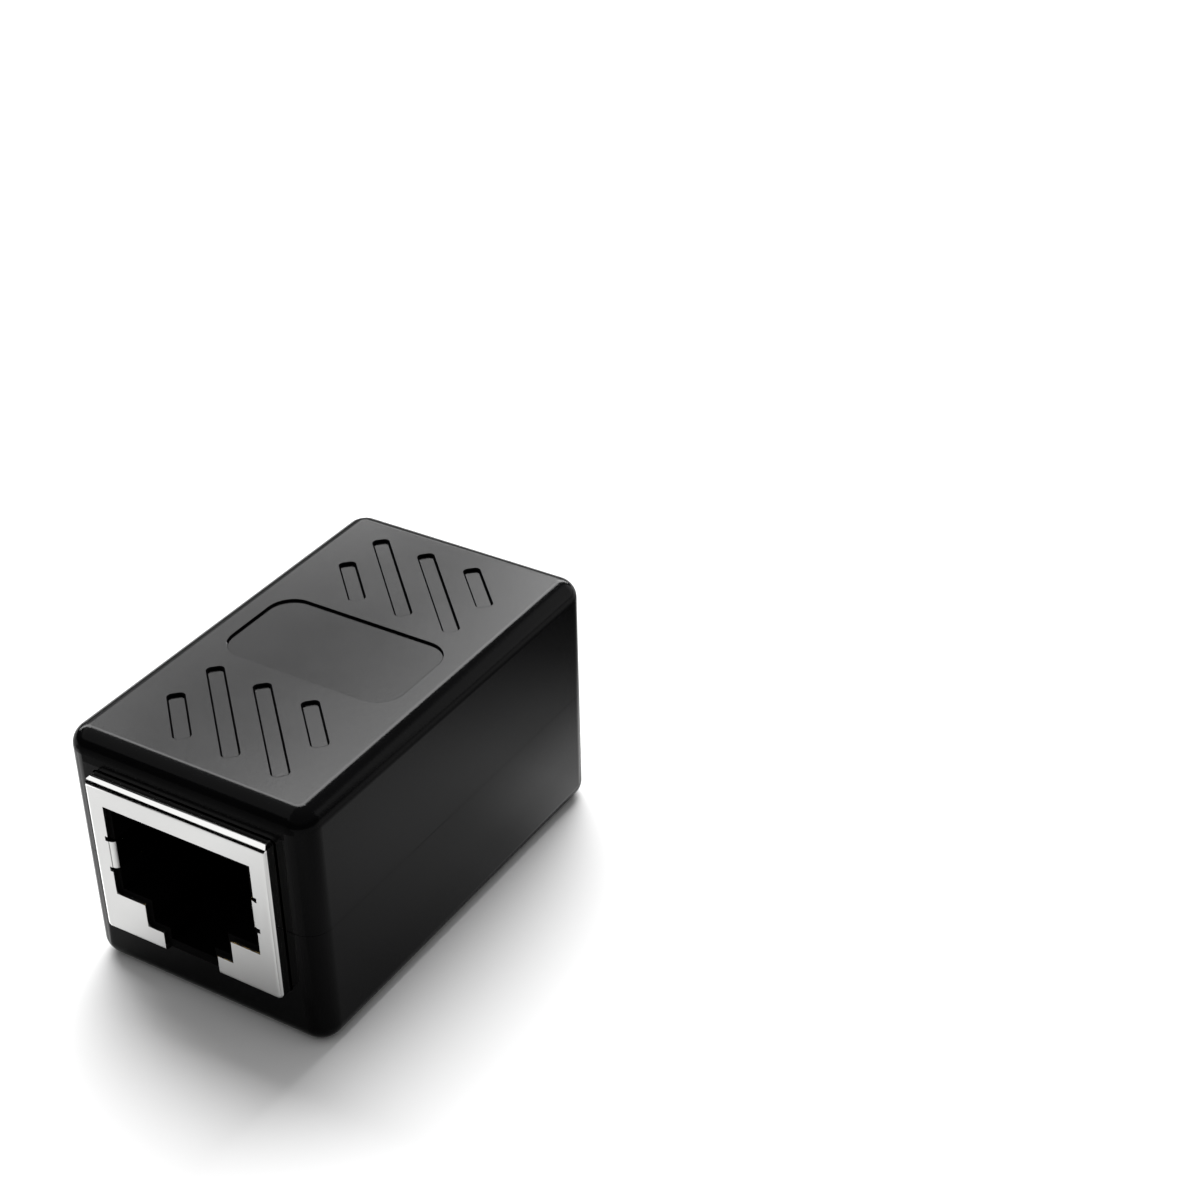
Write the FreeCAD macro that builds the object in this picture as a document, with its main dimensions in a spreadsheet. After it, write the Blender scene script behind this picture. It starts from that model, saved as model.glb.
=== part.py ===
import FreeCAD, Part
import math
import os
import re
import Sketcher

# Inline coupler for eight-way modular plugs: two shielded jacks back to back in a two-piece moulded casing.
# X runs across the casing, Y along it through both ports, Z up. The origin is the middle of the underside.
# The slotted face is up, so each plug's latch is at the bottom and the contacts are at the top.
# Each jack is drawn in its own frame: Y = 0 on the outer face of its shield with +Y into the port, and Z = 0
# on the underside of its moulded body.

vector = FreeCAD.Vector
doc = FreeCAD.newDocument("inline_coupler")

# Driving sizes in millimetres, with counts and shares as plain numbers
sizes = {
    "casing_length": 34.8, "casing_width": 21.1, "casing_height": 20.1, "wall": 1.5, "split_height": 10.0,
    "corner_round": 1.8, "edge_round": 1.5, "seam_gap": 0.03,
    "slot_width": 1.08, "slot_depth": 0.22, "slot_round": 0.3, "slot_pitch": 3.0, "slot_group_place": 10.05,
    "slot_reach_across": 5.9, "slot_reach_along": 3.5, "slots_in_group": 4,
    "label_width": 15.2, "label_length": 8.2, "label_depth": 0.17, "label_round": 2.0,
    "tongue_height": 1.0, "tongue_thickness": 0.7, "tongue_gap": 0.08,
    "rib_thickness": 1.2, "rib_place_outer": 13.8, "rib_place_inner": 6.4,
    "board_rib_share": 0.85, "board_rib_gap": 0.1,
    "hook_place": 10.1, "hook_width": 3.0, "hook_length": 4.0, "hook_arm_share": 0.6, "hook_gap_share": 0.1,
    "hook_reach": 0.3, "hook_height": 2.2, "hook_head": 1.0, "hook_flat": 0.3, "hook_shoulder": 0.5,
    "shield_proud": 1.1, "sheet": 0.3, "bend_round": 0.3, "shield_corner": 0.4, "shell_gap": 0.1,
    "body_width": 15.0, "body_height": 12.5, "body_length": 14.0, "jack_lift": 1.0, "seat_gap": 0.05,
    "window_margin": 0.42, "plug_width": 11.68, "plug_height": 6.6, "plug_gap": 0.14, "port_height": 7.05,
    "cavity_depth": 11.85, "shoulder_width": 6.8, "shoulder_floor": 1.7, "neck_width": 4.0,
    "latch_floor": 0.75, "latch_ledge": 2.6, "latch_depth": 8.5,
    "spring_low": 5.55, "spring_high": 7.85, "spring_sheet": 0.25, "spring_lean": 0.5, "spring_stand": 0.08,
    "spring_peak": 3.0, "spring_length": 5.4, "spring_bend": 0.25, "spring_gap": 0.15,
    "notch_width": 0.25, "notch_height": 0.4, "seam_slit": 0.15,
    "front_bar": 1.7, "carrier_width": 10.4, "carrier_front": 3.5, "carrier_foot": 1.65, "board_standoff": 0.9,
    "contact_count": 8, "contact_pitch": 1.016, "contact_width": 0.45, "contact_sheet": 0.3,
    "contact_gap": 0.065, "bend_cut": 0.2, "contact_bend": 0.5, "contact_top": 11.85,
    "turn_place": 2.55, "turn_height": 10.35, "drop_place": 15.6, "tip_place": 12.9, "tip_height": 7.95,
    "comb_depth": 1.2, "comb_low": 7.25,
    "front_row_high": 9.45, "front_row_low": 8.15, "rear_row_high": 4.85, "rear_row_low": 3.55,
    "board_thickness": 1.6, "board_edge_gap": 0.08, "pad_hole": 0.78, "tail_out": 0.35,
    "earth_tail_width": 1.2, "front_earth_height": 1.85, "rear_earth_height": 6.45, "earth_slot_gap": 0.1,
}

# Places that follow from the sizes: those of the casing first, then those in a jack's own frame
places = {
    "half_width": "casing_width / 2",
    "half_length": "casing_length / 2",
    "room_side": "half_width - wall",
    "room_end": "half_length - wall",
    "room_top": "casing_height - wall",
    "jack_base": "(casing_height - body_height) / 2 + jack_lift",
    "side_room": "room_side - shield_side",
    "hook_gap": "side_room * hook_gap_share",
    "hook_arm": "side_room * hook_arm_share",
    "hook_side": "room_side - hook_gap",
    "hook_low": "split_height + hook_height",
    "hook_high": "hook_low + hook_head",
    "board_rib_reach": "side_room * board_rib_share",
    "board_half": "board_thickness / 2",
    "board_side": "room_side - board_edge_gap",
    "shield_reach": "half_length + shield_proud",
    "body_side": "body_width / 2",
    "body_front": "sheet",
    "body_rear": "body_front + body_length",
    "shield_side": "body_side + seat_gap + sheet",
    "shield_low": "-(seat_gap + sheet)",
    "shield_high": "body_height + seat_gap + sheet",
    "board_face": "shield_reach - board_half",
    "jack_rear": "board_face - board_standoff",
    "tail_end": "board_face + board_thickness + tail_out",
    "cavity_side": "plug_width / 2 + plug_gap",
    "cavity_low": "port_height - plug_height / 2 - plug_gap",
    "cavity_high": "port_height + plug_height / 2 + plug_gap",
    "window_side": "cavity_side + window_margin",
    "window_low": "cavity_low - window_margin",
    "window_high": "cavity_high + window_margin",
    "step_side": "shoulder_width / 2 + window_margin",
    "step_low": "shoulder_floor - window_margin",
    "gate_side": "neck_width / 2 + window_margin",
    "row_start": "contact_pitch * (contact_count - 1) / 2",
    "row_length": "contact_pitch * (contact_count - 1)",
    "groove_side": "contact_width / 2 + contact_gap",
}

# Two coordinates closer than this are the same place
same_place = 0.001

sheet = doc.addObject("Spreadsheet::Sheet", "Sizes")
for row, (alias, number) in enumerate(sizes.items(), start=1):
    sheet.set(f"A{row}", alias)
    sheet.set(f"B{row}", str(number))
    sheet.setAlias(f"B{row}", alias)
doc.recompute()


def linked(formula):
    """The formula with each place written out and each size pointing at its cell."""
    def swap(match):
        word = match[0]
        if word in places:
            return "(" + linked(places[word]) + ")"
        return f"Sizes.{word}" if word in sizes else word
    return re.sub(r"[a-z_]+", swap, str(formula))


def amount(formula):
    """What a formula comes to now."""
    return float(sheet.evalExpression(linked(formula)))


def bind(target, name, formula):
    target.setExpression(name, linked(formula))


def plane_of(body, role):
    return next(item for item in body.Origin.OriginFeatures if item.Role == role)


def draw(body, name, role, offset="0"):
    """A sketch on one of the body's own planes, moved along the plane's normal."""
    sketch = body.newObject("Sketcher::SketchObject", name)
    sketch.AttachmentSupport = [(plane_of(body, role), "")]
    sketch.MapMode = "FlatFace"
    bind(sketch, "AttachmentOffset.Base.z", offset)
    return sketch


def pin_point(sketch, shape, end, across, along):
    """Hold one point of a shape at a place worked out from the sizes."""
    for kind, formula in (("DistanceX", across), ("DistanceY", along)):
        number = sketch.addConstraint(Sketcher.Constraint(kind, -1, 1, shape, end, amount(formula)))
        bind(sketch, f"Constraints[{number}]", formula)


def polygon(sketch, corners):
    """A closed outline with a corner at each pair of formulas."""
    points = [vector(amount(across), amount(along), 0) for across, along in corners]
    first = sketch.GeometryCount
    for here, there in zip(points, points[1:] + points[:1]):
        sketch.addGeometry(Part.LineSegment(here, there), False)
    total = len(points)
    for index in range(total):
        follower = first + (index + 1) % total
        sketch.addConstraint(Sketcher.Constraint("Coincident", first + index, 2, follower, 1))
    for index, (across, along) in enumerate(corners):
        pin_point(sketch, first + index, 1, across, along)


def rectangle(sketch, left, low, right, high):
    polygon(sketch, [(left, low), (right, low), (right, high), (left, high)])


def circle(sketch, across, along, diameter):
    centre = vector(amount(across), amount(along), 0)
    shape = sketch.addGeometry(Part.Circle(centre, vector(0, 0, 1), amount(diameter) / 2), False)
    pin_point(sketch, shape, 3, across, along)
    number = sketch.addConstraint(Sketcher.Constraint("Diameter", shape, amount(diameter)))
    bind(sketch, f"Constraints[{number}]", diameter)


def slanted_slot(sketch, start, finish, width):
    """A straight slot that runs right and down at 45 degrees, its ends half its width past the two points."""
    corner = f"{width} / sqrt(2)"
    polygon(sketch, [
        (f"{start[0]} - {corner}", start[1]), (finish[0], f"{finish[1]} - {corner}"),
        (f"{finish[0]} + {corner}", finish[1]), (start[0], f"{start[1]} + {corner}"),
    ])


def bent_path(sketch, corners, bend, square=0):
    """Straight runs through the corners: the first ones inside stay square, the rest get a tangent arc."""
    points = [vector(amount(across), amount(along), 0) for across, along in corners]
    radius = amount(bend)
    starts = [points[0]]
    ends = []
    arcs = []
    for before, corner, after in zip(points, points[1:], points[2:]):
        if len(ends) < square:
            ends.append(corner)
            starts.append(corner)
            continue
        arriving = (corner - before).normalize()
        leaving = (after - corner).normalize()
        setback = radius * math.tan(arriving.getAngle(leaving) / 2)
        begin = corner - arriving * setback
        finish = corner + leaving * setback
        centre = corner + (leaving - arriving).normalize() * math.hypot(radius, setback)
        turns_left = arriving.cross(leaving).z > 0
        angles = [math.atan2(point.y - centre.y, point.x - centre.x) for point in (begin, finish)]
        low, high = angles if turns_left else reversed(angles)
        arcs.append((Part.ArcOfCircle(Part.Circle(centre, vector(0, 0, 1), radius), low, high), turns_left))
        ends.append(begin)
        starts.append(finish)
    ends.append(points[-1])
    runs = [sketch.addGeometry(Part.LineSegment(one, two), False) for one, two in zip(starts, ends)]
    pin_point(sketch, runs[0], 1, *corners[0])
    pin_point(sketch, runs[-1], 2, *corners[-1])
    for index in range(square):
        pin_point(sketch, runs[index], 2, *corners[index + 1])
        sketch.addConstraint(Sketcher.Constraint("Coincident", runs[index], 2, runs[index + 1], 1))
    for index, (arc, turns_left) in enumerate(arcs, start=square):
        mark = sketch.addGeometry(Part.Point(points[index + 1]), True)
        pin_point(sketch, mark, 1, *corners[index + 1])
        sketch.addConstraint(Sketcher.Constraint("PointOnObject", mark, 1, runs[index]))
        sketch.addConstraint(Sketcher.Constraint("PointOnObject", mark, 1, runs[index + 1]))
        shape = sketch.addGeometry(arc, False)
        near, far = (1, 2) if turns_left else (2, 1)
        number = sketch.addConstraint(Sketcher.Constraint("Radius", shape, radius))
        bind(sketch, f"Constraints[{number}]", bend)
        sketch.addConstraint(Sketcher.Constraint("Tangent", runs[index], 2, shape, near))
        sketch.addConstraint(Sketcher.Constraint("Tangent", shape, far, runs[index + 1], 1))


def extrude(body, kind, name, sketch, length, reverse=False, both_ways=False):
    feature = body.newObject(f"PartDesign::{kind}", name)
    feature.Profile = sketch
    feature.Reversed = reverse
    if both_ways:
        feature.SideType = "Symmetric"
    bind(feature, "Length", length)
    doc.recompute()
    return feature


def volume_of(body):
    return 0.0 if body.Tip is None else body.Shape.Volume


def pad(body, name, sketch, length, reverse=False, both_ways=False):
    """Add material, and stop if nothing was added."""
    before = volume_of(body)
    feature = extrude(body, "Pad", name, sketch, length, reverse, both_ways)
    if body.Shape.Volume <= before:
        raise RuntimeError(f"{body.Label} {name} adds nothing")
    return feature


def pocket(body, name, sketch, length, reverse=False, both_ways=False):
    """Cut material away, and stop if nothing was cut."""
    before = volume_of(body)
    feature = extrude(body, "Pocket", name, sketch, length, reverse, both_ways)
    if body.Shape.Volume >= before:
        raise RuntimeError(f"{body.Label} {name} cuts nothing")
    return feature


def soften(body, name, radius, wanted):
    """Round the edges of the body that the test picks out."""
    edges = [f"Edge{number}" for number, edge in enumerate(body.Tip.Shape.Edges, start=1) if wanted(edge)]
    carrier = body.Tip
    feature = body.newObject("PartDesign::Fillet", name)
    feature.Base = (carrier, edges)
    bind(feature, "Radius", radius)
    doc.recompute()
    return feature


def in_a_row(body, name, feature, sketch):
    """Repeat a feature across the port, once for each contact."""
    pattern = body.newObject("PartDesign::LinearPattern", name)
    pattern.Originals = [feature]
    pattern.Direction = (sketch, ["H_Axis"])
    bind(pattern, "Length", "row_length")
    bind(pattern, "Occurrences", "contact_count")
    body.Tip = pattern
    doc.recompute()
    return pattern


def lies_at(edge, axis, place):
    """True where every point of the edge has this coordinate."""
    box = edge.BoundBox
    low, high = {"x": (box.XMin, box.XMax), "y": (box.YMin, box.YMax), "z": (box.ZMin, box.ZMax)}[axis]
    return abs(low - place) < same_place and abs(high - place) < same_place


def runs_along(edge, axis):
    box = edge.BoundBox
    spans = {"x": box.XLength, "y": box.YLength, "z": box.ZLength}
    others = [span for name, span in spans.items() if name != axis]
    return spans[axis] > same_place and max(others) < same_place


def new_body(name):
    body = doc.addObject("PartDesign::Body", name)
    body.Label = name
    return body


# Casing, moulded in two halves that meet at split_height


def casing_shell(body, outer, seam, room):
    """One half of the casing as an open tray: outer and seam are its heights, room is its inner height."""
    outline = draw(body, "shell_outline", "XY_Plane", seam)
    rectangle(outline, "-half_width", "-half_length", "half_width", "half_length")
    upward = amount(outer) > amount(seam)
    height = f"{outer} - ({seam})" if upward else f"{seam} - ({outer})"
    depth = f"{room} - ({seam})" if upward else f"{seam} - ({room})"
    pad(body, "shell", outline, height, reverse=not upward)
    soften(body, "corner_rounds", "corner_round", lambda edge: runs_along(edge, "z"))
    soften(body, "outer_rounds", "edge_round", lambda edge: lies_at(edge, "z", amount(outer)))
    inside = draw(body, "room_outline", "XY_Plane", seam)
    rectangle(inside, "-room_side", "-room_end", "room_side", "room_end")
    pocket(body, "room", inside, depth, reverse=upward)


def end_windows(body, low, high, corner):
    """The openings in both end walls that the shields stand out through, with round corners at one height."""
    outline = draw(body, "window_outline", "XZ_Plane")
    rectangle(outline, "-(shield_side + shell_gap)", low, "shield_side + shell_gap", high)
    pocket(body, "end_windows", outline, "casing_length + wall", both_ways=True)
    side = amount("shield_side + shell_gap")
    height = amount(corner)

    def window_corner(edge):
        on_side = lies_at(edge, "x", side) or lies_at(edge, "x", -side)
        return runs_along(edge, "y") and on_side and lies_at(edge, "z", height)

    soften(body, "window_rounds", "shield_corner + shell_gap", window_corner)


def cradle_ribs(body, outer, seam, cradle):
    """Frames across the casing that hold the cans: outer is the inner face of the floor or the roof."""
    gap_side = "shield_side + seat_gap"
    corners = [
        ("-room_side", outer), ("room_side", outer), ("room_side", seam), (gap_side, seam),
        (gap_side, cradle), (f"-({gap_side})", cradle), (f"-({gap_side})", seam), ("-room_side", seam),
    ]
    stations = {
        "front_outer": "rib_place_outer", "front_inner": "rib_place_inner",
        "rear_inner": "-rib_place_inner", "rear_outer": "-rib_place_outer",
    }
    for name, station in stations.items():
        outline = draw(body, f"{name}_rib_outline", "XZ_Plane", station)
        polygon(outline, corners)
        pad(body, f"{name}_rib", outline, "rib_thickness", both_ways=True)


def board_ribs(body, seam, depth, upward):
    """Two ribs on each side wall, with the board standing between them."""
    outline = draw(body, "board_rib_outline", "XY_Plane", seam)
    inner = "board_half + board_rib_gap"
    outer = f"{inner} + rib_thickness"
    reach = "room_side - board_rib_reach"
    for left, right in (("-room_side", f"-({reach})"), (reach, "room_side")):
        rectangle(outline, left, inner, right, outer)
        rectangle(outline, left, f"-({outer})", right, f"-({inner})")
    pad(body, "board_ribs", outline, depth, reverse=not upward)


def casing_lower():
    """The lower half, with the tongue round its rim and four snap hooks."""
    body = new_body("casing_lower")
    seam = "split_height"
    casing_shell(body, "0", seam, "wall")
    ring = draw(body, "tongue_outline", "XY_Plane", seam)
    lip_side = "room_side + tongue_thickness"
    lip_end = "room_end + tongue_thickness"
    rectangle(ring, f"-({lip_side})", f"-({lip_end})", lip_side, lip_end)
    rectangle(ring, "-room_side", "-room_end", "room_side", "room_end")
    pad(body, "tongue", ring, "tongue_height")
    window_low = "jack_base + shield_low - shell_gap"
    end_windows(body, window_low, "split_height + tongue_height + wall", window_low)
    cradle_ribs(body, "wall", seam, "jack_base + shield_low - seat_gap")
    board_ribs(body, seam, "split_height - wall", upward=False)
    arm_inside = "hook_side - hook_arm"
    root = "split_height - hook_length"
    profile = [
        (arm_inside, root), ("room_side", root), ("room_side", "split_height - hook_shoulder"),
        ("hook_side", "split_height - hook_shoulder"), ("hook_side", "hook_low"),
        ("room_side + hook_reach", "hook_low"), ("room_side + hook_reach", "hook_low + hook_flat"),
        ("hook_side", "hook_high"), (arm_inside, "hook_high"),
    ]
    for name, station in (("front", "hook_place"), ("rear", "-hook_place")):
        outline = draw(body, f"{name}_hook_outline", "XZ_Plane", station)
        polygon(outline, profile)
        polygon(outline, [(f"-({across})", along) for across, along in reversed(profile)])
        pad(body, f"{name}_hooks", outline, "hook_width", both_ways=True)
    return body


def casing_upper():
    """The upper half, with the label recess and the slots in its face and the hooks' pockets inside."""
    body = new_body("casing_upper")
    seam = "split_height + seam_gap"
    casing_shell(body, "casing_height", seam, "room_top")
    rebate = draw(body, "rebate_outline", "XY_Plane", seam)
    lip_side = "room_side + tongue_thickness + tongue_gap"
    lip_end = "room_end + tongue_thickness + tongue_gap"
    rectangle(rebate, f"-({lip_side})", f"-({lip_end})", lip_side, lip_end)
    pocket(body, "rebate", rebate, "tongue_height + tongue_gap", reverse=True)
    window_high = "jack_base + shield_high + shell_gap"
    end_windows(body, "split_height - wall", window_high, window_high)
    cradle_ribs(body, "room_top", seam, "jack_base + shield_high + seat_gap")
    board_ribs(body, seam, "room_top - split_height - seam_gap", upward=True)
    catch_outline = draw(body, "catch_outline", "XY_Plane", "hook_low - hook_gap")
    catch_side = "room_side + hook_reach + hook_gap"
    catch_half = "hook_width / 2 + hook_gap"
    for station in ("hook_place", "-hook_place"):
        low, high = f"{station} - ({catch_half})", f"{station} + {catch_half}"
        rectangle(catch_outline, "room_side - hook_gap", low, catch_side, high)
        rectangle(catch_outline, f"-({catch_side})", low, "hook_gap - room_side", high)
    pocket(body, "catches", catch_outline, "hook_head + 2 * hook_gap", reverse=True)
    label = draw(body, "label_outline", "XY_Plane", "casing_height")
    rectangle(label, "-label_width / 2", "-label_length / 2", "label_width / 2", "label_length / 2")
    pocket(body, "label_recess", label, "label_depth")
    label_side = amount("label_width / 2")

    def label_corner(edge):
        return runs_along(edge, "z") and (lies_at(edge, "x", label_side) or lies_at(edge, "x", -label_side))

    soften(body, "label_rounds", "label_round", label_corner)
    slots = draw(body, "slot_outlines", "XY_Plane", "casing_height")
    slant = "slot_pitch * sqrt(2)"
    for centre in ("slot_group_place", "-slot_group_place"):
        for index in range(int(amount("slots_in_group"))):
            shift = f"({slant} * ({index} - (slots_in_group - 1) / 2))"
            start_across = f"max(-slot_reach_across; {shift} - slot_reach_along)"
            finish_across = f"min(slot_reach_across; {shift} + slot_reach_along)"
            start = (start_across, f"{centre} + {shift} - {start_across}")
            finish = (finish_across, f"{centre} + {shift} - {finish_across}")
            slanted_slot(slots, start, finish, "slot_width")
    pocket(body, "slots", slots, "slot_depth")
    slot_floor = amount("casing_height - slot_depth")
    slot_height = amount("slot_depth")

    def slot_corner(edge):
        box = edge.BoundBox
        fits = abs(box.ZMin - slot_floor) < same_place and abs(box.ZLength - slot_height) < same_place
        return runs_along(edge, "z") and fits

    soften(body, "slot_rounds", "slot_round", slot_corner)
    return body


# Shields, folded from thin plate round each jack


def shield(name, earth_height):
    """A can with a face plate, its port window, two side springs and a pair of earth tails."""
    body = new_body(name)
    outline = draw(body, "can_outline", "XZ_Plane")
    rectangle(outline, "-shield_side", "shield_low", "shield_side", "shield_high")
    pad(body, "can", outline, "jack_rear", reverse=True)
    soften(body, "long_bends", "shield_corner", lambda edge: runs_along(edge, "y"))
    soften(body, "face_bends", "bend_round", lambda edge: lies_at(edge, "y", 0))
    inside = draw(body, "inside_outline", "XZ_Plane", "-jack_rear")
    inner_side = "body_side + seat_gap"
    rectangle(inside, f"-({inner_side})", "shield_low + sheet", inner_side, "shield_high - sheet")
    pocket(body, "inside", inside, "jack_rear - sheet", reverse=True)
    window = draw(body, "window_outline", "XZ_Plane")
    notch_side = "window_side + notch_width"
    right_side = [
        ("window_side", "window_high"), ("window_side", "spring_high + notch_height"),
        (notch_side, "spring_high + notch_height"), (notch_side, "spring_high"),
        ("window_side", "spring_high"), ("window_side", "spring_low"),
        (notch_side, "spring_low"), (notch_side, "spring_low - notch_height"),
        ("window_side", "spring_low - notch_height"), ("window_side", "window_low"),
        ("step_side", "window_low"), ("step_side", "step_low"), ("gate_side", "step_low"),
        ("gate_side", "shield_low - sheet"),
    ]
    left_side = [(f"-({across})", along) for across, along in reversed(right_side)]
    polygon(window, right_side + left_side)
    pocket(body, "window", window, "sheet")
    floor_cut = draw(body, "floor_cut_outline", "XY_Plane", "shield_low")
    slit = "seam_slit / 2"
    latch_end = "body_front + latch_depth"
    rear = "jack_rear + sheet"
    polygon(floor_cut, [
        ("-gate_side", "-sheet"), ("gate_side", "-sheet"), ("gate_side", latch_end), (slit, latch_end),
        (slit, rear), (f"-{slit}", rear), (f"-{slit}", latch_end), ("-gate_side", latch_end),
    ])
    pocket(body, "latch_gate", floor_cut, "2 * sheet", both_ways=True)
    strip = draw(body, "spring_section", "YZ_Plane", "window_side")
    rectangle(strip, "sheet - spring_sheet", "spring_low", "sheet", "spring_high")
    way = draw(body, "spring_way", "XY_Plane", "(spring_low + spring_high) / 2")
    strip_middle = "sheet - spring_sheet / 2"
    bent_path(way, [
        ("window_side", strip_middle), ("window_side - spring_stand - spring_bend", strip_middle),
        ("window_side - spring_lean", "spring_peak"), ("window_side - spring_stand", "spring_length"),
    ], "spring_bend")
    spring = body.newObject("PartDesign::AdditivePipe", "right_spring")
    spring.Profile = strip
    spring.Spine = way
    spring.Transition = "Transformed"
    doc.recompute()
    twin = body.newObject("PartDesign::Mirrored", "left_spring")
    twin.Originals = [spring]
    twin.MirrorPlane = (plane_of(body, "YZ_Plane"), [""])
    body.Tip = twin
    doc.recompute()
    tails = draw(body, "tail_outline", "XZ_Plane", "-(jack_rear - sheet)")
    half_tail = "earth_tail_width / 2"
    low, high = f"{earth_height} - {half_tail}", f"{earth_height} + {half_tail}"
    rectangle(tails, inner_side, low, "shield_side", high)
    rectangle(tails, "-shield_side", low, f"-({inner_side})", high)
    pad(body, "earth_tails", tails, "tail_end - jack_rear + sheet", reverse=True)
    return body


# Jack bodies, the moulded sockets inside the shields


def jack_body(name):
    """The socket: plug cavity, latch way with its two ledges, spring recesses and the comb."""
    body = new_body(name)
    block = draw(body, "block_outline", "XZ_Plane", "-body_front")
    rectangle(block, "-body_side", "0", "body_side", "body_height")
    pad(body, "block", block, "body_length", reverse=True)
    corner = "shield_corner - sheet"
    soften(body, "block_rounds", corner, lambda edge: runs_along(edge, "y"))
    cavity = draw(body, "cavity_outline", "XZ_Plane", "-body_front")
    rectangle(cavity, "-cavity_side", "cavity_low", "cavity_side", "cavity_high")
    pocket(body, "plug_cavity", cavity, "cavity_depth")
    gate = draw(body, "gate_outline", "XZ_Plane", "-body_front")
    shoulder, neck = "shoulder_width / 2", "neck_width / 2"
    polygon(gate, [
        (f"-{shoulder}", "port_height"), (f"-{shoulder}", "shoulder_floor"), (f"-{neck}", "shoulder_floor"),
        (f"-{neck}", "latch_floor"), (neck, "latch_floor"), (neck, "shoulder_floor"),
        (shoulder, "shoulder_floor"), (shoulder, "port_height"),
    ])
    pocket(body, "latch_gate", gate, "latch_ledge")
    way = draw(body, "latch_way_outline", "XZ_Plane", "-(body_front + latch_ledge)")
    rectangle(way, f"-{shoulder}", "latch_floor", shoulder, "port_height")
    pocket(body, "latch_way", way, "latch_depth - latch_ledge")
    recess = draw(body, "spring_recess_outline", "XZ_Plane", "-body_front")
    low, high = "spring_low - spring_gap", "spring_high + spring_gap"
    outer = "window_side + spring_gap"
    rectangle(recess, "cavity_side - spring_gap", low, outer, high)
    rectangle(recess, f"-({outer})", low, "spring_gap - cavity_side", high)
    pocket(body, "spring_recesses", recess, "spring_length + spring_gap")
    bed = draw(body, "carrier_bed_outline", "XY_Plane", "body_height")
    bed_side = "carrier_width / 2 + seat_gap"
    rectangle(bed, f"-({bed_side})", "body_front + front_bar", bed_side, "body_rear + sheet")
    pocket(body, "carrier_bed", bed, "body_height - cavity_high")
    comb = draw(body, "comb_outline", "XZ_Plane", "-(body_front + cavity_depth)")
    rectangle(comb, "-row_start - groove_side", "comb_low", "-row_start + groove_side", "cavity_high + sheet")
    tooth_gap = pocket(body, "comb_gap", comb, "comb_depth")
    in_a_row(body, "comb", tooth_gap, comb)
    return body


def contact_carrier(name):
    """The insert that holds the contacts: a plate over the cavity and a leg behind it, grooved eight times."""
    body = new_body(name)
    profile = draw(body, "side_outline", "YZ_Plane")
    plate_low = "cavity_high + seat_gap"
    leg_front = "body_rear + seat_gap"
    polygon(profile, [
        ("carrier_front", plate_low), (leg_front, plate_low), (leg_front, "carrier_foot"),
        ("jack_rear", "carrier_foot"), ("jack_rear", "body_height"), ("carrier_front", "body_height"),
    ])
    pad(body, "insert", profile, "carrier_width", both_ways=True)
    groove = draw(body, "groove_outline", "XY_Plane", "body_height")
    left, right = "-row_start - groove_side", "-row_start + groove_side"
    rectangle(groove, left, "carrier_front - sheet", right, "jack_rear + sheet")
    cut = pocket(body, "groove", groove, "body_height - contact_top + contact_sheet / 2 + contact_gap")
    in_a_row(body, "grooves", cut, groove)
    channel = draw(body, "channel_outline", "XZ_Plane", "-jack_rear")
    channel_low = "rear_row_low - contact_sheet / 2 - contact_gap"
    rectangle(channel, left, channel_low, right, "body_height + sheet")
    depth = "jack_rear - drop_place + contact_sheet / 2 + contact_gap"
    cut = pocket(body, "channel", channel, depth, reverse=True)
    in_a_row(body, "channels", cut, channel)
    return body


def contact(name, row):
    """One sprung contact: tail, drop, top run, hairpin turn and the sloping finger that meets the plug."""
    body = new_body(name)
    section = draw(body, "tail_section", "XZ_Plane", "-tail_end")
    half = "contact_sheet / 2"
    rectangle(section, "-contact_width / 2", f"{row} - {half}", "contact_width / 2", f"{row} + {half}")
    way = draw(body, "way", "YZ_Plane")
    cut_corners = [
        ("drop_place + bend_cut", row), ("drop_place", f"{row} + bend_cut"),
        ("drop_place", "contact_top - bend_cut"), ("drop_place - bend_cut", "contact_top"),
        ("turn_place + bend_cut", "contact_top"), ("turn_place", "contact_top - bend_cut"),
    ]
    finger = [("turn_place", "turn_height"), ("tip_place", "tip_height")]
    bent_path(way, [("tail_end", row)] + cut_corners + finger, "contact_bend", square=len(cut_corners))
    spring = body.newObject("PartDesign::AdditivePipe", "strip")
    spring.Profile = section
    spring.Spine = way
    spring.Transition = "Right corner"
    doc.recompute()
    return body


def circuit_board():
    """The board between the jacks, with a hole for each contact tail and a slot for each earth tail."""
    body = new_body("circuit_board")
    outline = draw(body, "board_outline", "XZ_Plane")
    rectangle(outline, "-board_side", "wall + board_edge_gap", "board_side", "room_top - board_edge_gap")
    pad(body, "board", outline, "board_thickness", both_ways=True)
    holes = draw(body, "hole_outlines", "XZ_Plane")
    for end in ends:
        for number in range(1, int(amount("contact_count")) + 1):
            circle(holes, contact_place(end, number), f"jack_base + {row_of(end, number)}", "pad_hole")
        height = f"jack_base + {ends[end]['earth']}"
        half = "earth_tail_width / 2 + earth_slot_gap"
        inner = "body_side + seat_gap - earth_slot_gap"
        outer = "shield_side + earth_slot_gap"
        rectangle(holes, inner, f"{height} - ({half})", outer, f"{height} + {half}")
        rectangle(holes, f"-({outer})", f"{height} - ({half})", f"-({inner})", f"{height} + {half}")
    pocket(body, "holes", holes, "2 * board_thickness", both_ways=True)
    return body


# The two ends: the rear jack is the front one turned half round, with its own rows of tails in the board
ends = {
    "front": {"turn": 0, "place": "-shield_reach", "side": "1", "rows": ("front_row_high", "front_row_low"),
              "earth": "front_earth_height"},
    "rear": {"turn": 180, "place": "shield_reach", "side": "-1", "rows": ("rear_row_high", "rear_row_low"),
             "earth": "rear_earth_height"},
}


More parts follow.
